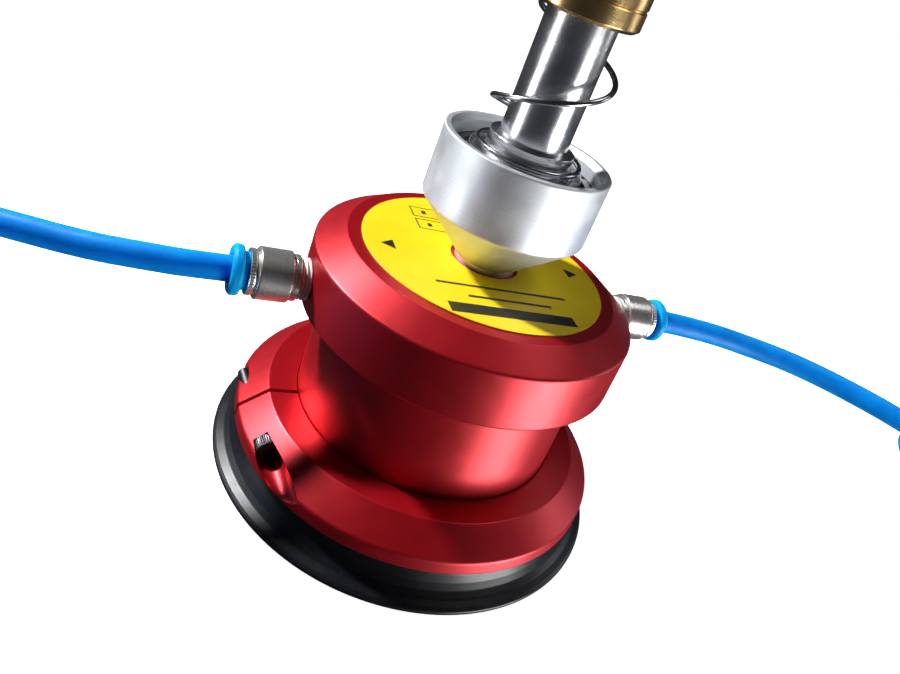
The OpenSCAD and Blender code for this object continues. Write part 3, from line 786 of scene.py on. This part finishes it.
bm = bmesh.new()
add_lathe(bm, [
    (25, 4), (33.9, 4, 0.4), (34, 44.8, 0.12), (40, 44.8, 0.6), (40, 58.4, 0.9),
    (33.4, 62.6, 0.7), (7.55, 62.6, 0.2), (7.55, 57.1), (3.05, 57.1), (3.05, 48), (25, 48),
], segments=256)
finish_piece("red_housing", bm, "housing", [RED], ["housing"])

bm = bmesh.new()
add_lathe(bm, [(8.5, 62.6), (30.2, 62.6), (30.2, 62.88, 0.12), (8.5, 62.88, 0.1)], segments=192)
finish_piece("yellow_label", bm, "housing", [YELLOW], ["name_label"])

# The clamp screw's azimuth, and its axis's distance from the head's axis and height
SCREW_TURN = 187.5
SCREW_R = 43.2
SCREW_Z = 13.0
screw_place = turn("Z", SCREW_TURN) @ at(SCREW_R, 0, SCREW_Z) @ turn("X", -90)

bm = bmesh.new()
add_lathe(bm, [
    (34.1, 18.3, 0.2), (41, 18.3, 0.8), (47.5, 12.9, 1.1), (47.5, 9.4, 0.4), (36.9, 9.4, 0.2),
    (36.9, 15.3), (34.1, 15.3),
], segments=256)
clamp = finish_piece("red_clamp_ring", bm, "housing", [RED], ["clamp_ring"])
slot_cut = bmesh.new()
slot_size = Matrix.Diagonal((18 * MM, 1.2 * MM, 14 * MM, 1))
bmesh.ops.create_cube(slot_cut, size=1, matrix=at(-42, 0, 14) @ slot_size)
hole_cut = bmesh.new()
add_lathe(hole_cut, [(0, -30), (1.55, -30), (1.55, 6.4), (0, 6.4)], screw_place, 64)
merge(hole_cut)
seat_cut = bmesh.new()
add_lathe(seat_cut, [(0, 6.2), (1.55, 6.2), (1.55, 6.6), (3, 6.6), (3, 34), (0, 34)], screw_place, 96)
merge(seat_cut)
carve(clamp, [slot_cut, hole_cut, seat_cut])

bm = bmesh.new()
add_lathe(bm, [
    (0, -18.9), (1.1, -18.9), (1.5, -18.5), (1.5, 6.65), (2.6, 6.65, 0.2), (2.75, 7, 0.1),
    (2.75, 9.8, 0.1), (2.4, 10.25, 0.2), (0, 10.25),
], screw_place, 192, ripple=(32, 0.14, 7.1, 9.7, 2.65))
screw = finish_piece("clamp_screw_head", bm, "housing", [BLACK_STEEL], ["clamp_screw"])
hex_cut = bmesh.new()
add_hex(hex_cut, across=2.5, bore=0.0, z0=8.1, z1=12, chamfer=0.0, place=screw_place)
merge(hex_cut)
carve(screw, [hex_cut])

bm = bmesh.new()
add_lathe(bm, [
    (34.05, 15.2), (36.8, 15.2, 0.2), (36.8, 9.3), (45.7, 9.3, 0.3), (46.0, 7.4, 1.6),
    (46.6, 5.6, 1.6), (47.5, 4.0, 1.6), (48.7, 2.75, 1.6), (50.3, 1.95, 0.8), (51, 1.3, 0.5),
    (50.95, 0.5, 0.3), (50.5, 0, 0.3), (46.4, 0, 0.2), (45.6, 1.5, 0.2), (38.6, 1.5, 0.2),
    (37.8, 0, 0.2), (34.05, 0),
], segments=256)
finish_piece("rubber_lip", bm, "housing", [RUBBER], ["suction_lip"])

# ---------------------------------------------------------------- suspension

bm = bmesh.new()
add_lathe(bm, [
    (7.5, 57.2), (7.5, 63.8), (7.8, 64, 0.2), (20, 76, 1.1), (20, 92.4, 0.55), (18.6, 92.4, 0.2),
    (17.2, 91.1, 0.2), (17.2, 88.2), (18.4, 88.2), (18.4, 86.8), (17.2, 86.8), (17.2, 78.7),
    (9.6, 78.7), (9.6, 74.4), (5.6, 74.4), (5.6, 65), (3.2, 65), (3.2, 57.2),
], segments=224)
cup = finish_piece("aluminium_cup", bm, "housing", [SATIN], ["suspension_cup"])

BALL_R = 10.5
BALL_Z = 84.3
BALL_TOP = 88.4
ball_profile = [(0, BALL_Z - BALL_R)]
for k in range(1, 24):
    a = math.radians(-90 + 5 * k)
    if BALL_Z + BALL_R * math.sin(a) < BALL_TOP:
        ball_profile.append((BALL_R * math.cos(a), BALL_Z + BALL_R * math.sin(a)))
bm = bmesh.new()
add_lathe(bm, ball_profile + [
    (8, 88.5), (8, 168.9), (7.4, 168.9), (7.4, 170.3), (8, 170.3), (8, 174, 0.3), (7, 175, 0.3),
    (0, 175),
], segments=160)
shaft = finish_piece("steel_shaft", bm, "shaft", [STEEL], ["swivel_shaft"])

bm = bmesh.new()
add_lathe(bm, [
    (8.02, 88.6), (13.5, 88.6, 0.2), (13.5, 90, 0.3), (10, 90, 0.15), (10, 93.2), (9.8, 93.35),
    (9.8, 93.6), (10, 93.75), (10, 94.3, 0.3), (8.02, 94.3, 0.1),
], segments=160)
collar = finish_piece("steel_collar", bm, "shaft", [STEEL], ["spring_collar"])

# The spring: one closed turn at each end, open turns between. Its upper turns draw in, so that they
# sit in the bush's counterbore: by DRAWN_IN, from DRAW_BEFORE degrees before the open turns end and
# over DRAW_OVER degrees. SEEN is a point that the open turns pass: its azimuth and its height.
WIRE_R = 0.65
CLOSED_PITCH = 1.35
SPRING_PITCH = 22
SPRING_LOW = 92.0
SPRING_TOP = 124.0
SPRING_R = 12
DRAWN_IN = 2.6
DRAW_BEFORE = 150
DRAW_OVER = 130
SEEN_AZIMUTH = 151.5
SEEN_Z = 100.5
low_turn = SEEN_AZIMUTH + 360 * (SPRING_LOW - SEEN_Z) / SPRING_PITCH
high_turn = SEEN_AZIMUTH + 360 * (SPRING_TOP - SEEN_Z) / SPRING_PITCH


def spring_point(angle):
    if angle < low_turn:
        z = SPRING_LOW - CLOSED_PITCH + CLOSED_PITCH * (angle - low_turn + 360) / 360
    elif angle > high_turn:
        z = SPRING_TOP + CLOSED_PITCH * (angle - high_turn) / 360
    else:
        z = SPRING_LOW + (SPRING_TOP - SPRING_LOW) * (angle - low_turn) / (high_turn - low_turn)
    t = min(max((angle - high_turn + DRAW_BEFORE) / DRAW_OVER, 0), 1)
    r = SPRING_R - DRAWN_IN * t * t * (3 - 2 * t)
    return Vector((r * math.cos(math.radians(angle)), r * math.sin(math.radians(angle)), z))


bm = bmesh.new()
winding = high_turn - low_turn + 720
SPRING_STEPS = 300
wire_path = [spring_point(low_turn - 360 + winding * k / SPRING_STEPS) for k in range(SPRING_STEPS + 1)]
add_sweep(bm, wire_path, WIRE_R)
spring = finish_piece("wire_spring", bm, "shaft", [WIRE], ["load_spring"])
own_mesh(spring)

# The bush and its nut: 27 mm across flats, M20 x 1.5
ACROSS_FLATS = 27
NUT_CHAMFER = 0.9
bm = bmesh.new()
add_lathe(bm, [
    (8.05, 126.6), (10.3, 126.6), (10.3, 123.1, 0.1), (11, 123.1, 0.15), (12, 123.9, 0.2),
    (12, 127.6), (11.75, 127.8), (11.75, 128.2), (12, 128.4), (12, 138.2), (10, 138.2), (9.3, 168),
    (8.05, 168, 0.3),
], segments=160)
add_hex(bm, ACROSS_FLATS, 9.0, 138, 145, NUT_CHAMFER)
add_thread(bm, radius=10.0, depth=0.7, pitch=1.5, z0=145, z1=168, segments=96)
bush = finish_piece("brass_bush", bm, "guide_bush", [BRASS], ["guide_bush"])

bm = bmesh.new()
add_hex(bm, ACROSS_FLATS, 10.02, 146.8, 153.8, NUT_CHAMFER)
finish_piece("brass_nut", bm, "guide_bush", [BRASS], ["jam_nut"])

# ---------------------------------------------------------------- finishes of the CAD nodes kept

node_finish = {
    "sole_plate": GROUND, "sole_screws": ZINC, "sole_seal": SEAL, "channel_plug": ZINC,
    "pole_disc": GROUND, "magnet_discs": GROUND, "piston": SATIN, "piston_seal": SEAL,
    "piston_guide": NYLON, "piston_screw": ZINC, "cup_screw": ZINC, "seat_lower": NYLON,
    "seat_upper": NYLON, "retaining_ring": BLACK_STEEL, "stop_washer": ZINC,
    "stop_ring": BLACK_STEEL, "lock_washer": ZINC,
}
for side in ("left", "right"):
    for prefix in ("", "end_"):
        node_finish[prefix + "grab_ring_" + side] = WIRE
        node_finish[prefix + "tube_seal_" + side] = SEAL
for name, finish in node_finish.items():
    data = nodes[name].data
    data.materials.clear()
    data.materials.append(finish)

# The strip at the left lights the bright metal alone
bright_metal = bpy.data.collections.new("bright_metal")
for metal_piece in (cup, shaft, collar, spring, bush, *head_fittings):
    bright_metal.objects.link(metal_piece)
metal_strip.light_linking.receiver_collection = bright_metal

# ---------------------------------------------------------------- floor

floor_shader = Shader(
    "pale_floor", (0.9, 0.9, 0.9), 0.8, Emission_Color=(1, 1, 1, 1), Emission_Strength=1.0
)
floor_shader.colour(
    floor_shader.colours(floor_shader.noise(3, 4), (0.88, 0.88, 0.885), (0.92, 0.92, 0.92))
)
# A round floor that curves up into a wall: radius and height in metres
FLOOR_SECTION = [(6.0, 0.0), (7.5, 0.4), (8.4, 1.4), (8.8, 3.0), (9.0, 7.0)]
FLOOR_SIDES = 96
bm = bmesh.new()
floor_angles = [2 * math.pi * k / FLOOR_SIDES for k in range(FLOOR_SIDES)]
rings = [
    [bm.verts.new((r * math.cos(a), r * math.sin(a), z)) for a in floor_angles]
    for r, z in FLOOR_SECTION
]
bm.faces.new(rings[0])
for low, high in zip(rings, rings[1:]):
    for k in range(FLOOR_SIDES):
        after = (k + 1) % FLOOR_SIDES
        bm.faces.new((low[k], low[after], high[after], high[k]))
floor_mesh = bpy.data.meshes.new("floor")
bm.to_mesh(floor_mesh)
bm.free()
floor_mesh.materials.append(floor_shader.material)
floor = bpy.data.objects.new("floor", floor_mesh)
# A hair below the object, so that their faces do not share a plane
floor.location.z = -0.0002
bpy.context.scene.collection.objects.link(floor)
floor.visible_glossy = False
floor.visible_diffuse = False
floor.visible_shadow = False
